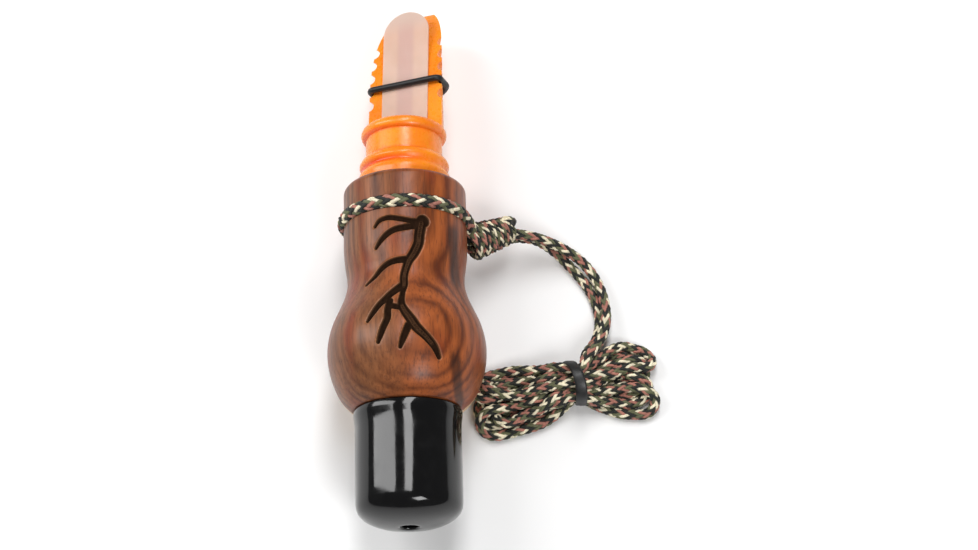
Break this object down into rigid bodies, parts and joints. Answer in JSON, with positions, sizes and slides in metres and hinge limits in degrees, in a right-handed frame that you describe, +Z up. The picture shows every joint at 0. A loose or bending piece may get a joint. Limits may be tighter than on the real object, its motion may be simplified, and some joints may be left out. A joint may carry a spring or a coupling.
{
  "type": "game call",
  "caption": "Open-reed game call: turned wood barrel with a moulded reed insert, slip-on end cap and a braided lanyard tied in a hank.",
  "frame": {"origin": "on the resting surface under the middle of the call's length, below its axis", "axes": "+Y along the call's axis towards the reed tip, +X towards the lanyard, +Z up from the surface"},
  "size_m": [0.08, 0.1372, 0.038],
  "materials": {
    "walnut": "oiled satin",
    "orange_plastic": "moulded gloss",
    "reed_film": "milky film",
    "black_vinyl": "dip-moulded gloss",
    "black_rubber": "satin",
    "cork": "pressed cork",
    "camo_braid": "braided nylon in four colours"
  },
  "bodies": {
    "barrel": {"barrel": "walnut", "neck_loop": "camo_braid", "lanyard_knot": "camo_braid", "knot_tail": "camo_braid", "run_outer": "camo_braid", "run_inner": "camo_braid", "lanyard_hank": "camo_braid", "hank_band": "black_rubber"},
    "cap": {"end_cap": "black_vinyl"},
    "insert": {"reed_insert": "orange_plastic", "reed_root": "reed_film", "reed_wedge": "cork", "seal_ring_front": "black_rubber", "seal_ring_rear": "black_rubber"},
    "reed": {"reed_tip": "reed_film"},
    "tuner": {"tuning_ring": "black_rubber"}
  },
  "joints": [
    {"name": "insert_pull", "type": "slide", "parent": "barrel", "child": "insert", "axis": [0, 1, 0], "range_m": [0, 0.026]},
    {"name": "cap_pull", "type": "slide", "parent": "barrel", "child": "cap", "axis": [0, -1, 0], "range_m": [0, 0.032]},
    {"name": "tuner_slide", "type": "slide", "parent": "insert", "child": "tuner", "axis": [0.0266, 0.997, -0.0731], "range_m": [-0.004, 0.008], "deforming": ["tuning_ring"]},
    {"name": "reed_flex", "type": "hinge", "parent": "insert", "child": "reed", "pos_m": [0.00045, 0.0458, 0.01775], "axis": [0.9397, 0, 0.342], "range_deg": [-10, 2], "stiffness_Nm_per_rad": 0.02, "deforming": ["reed_tip"]}
  ]
}
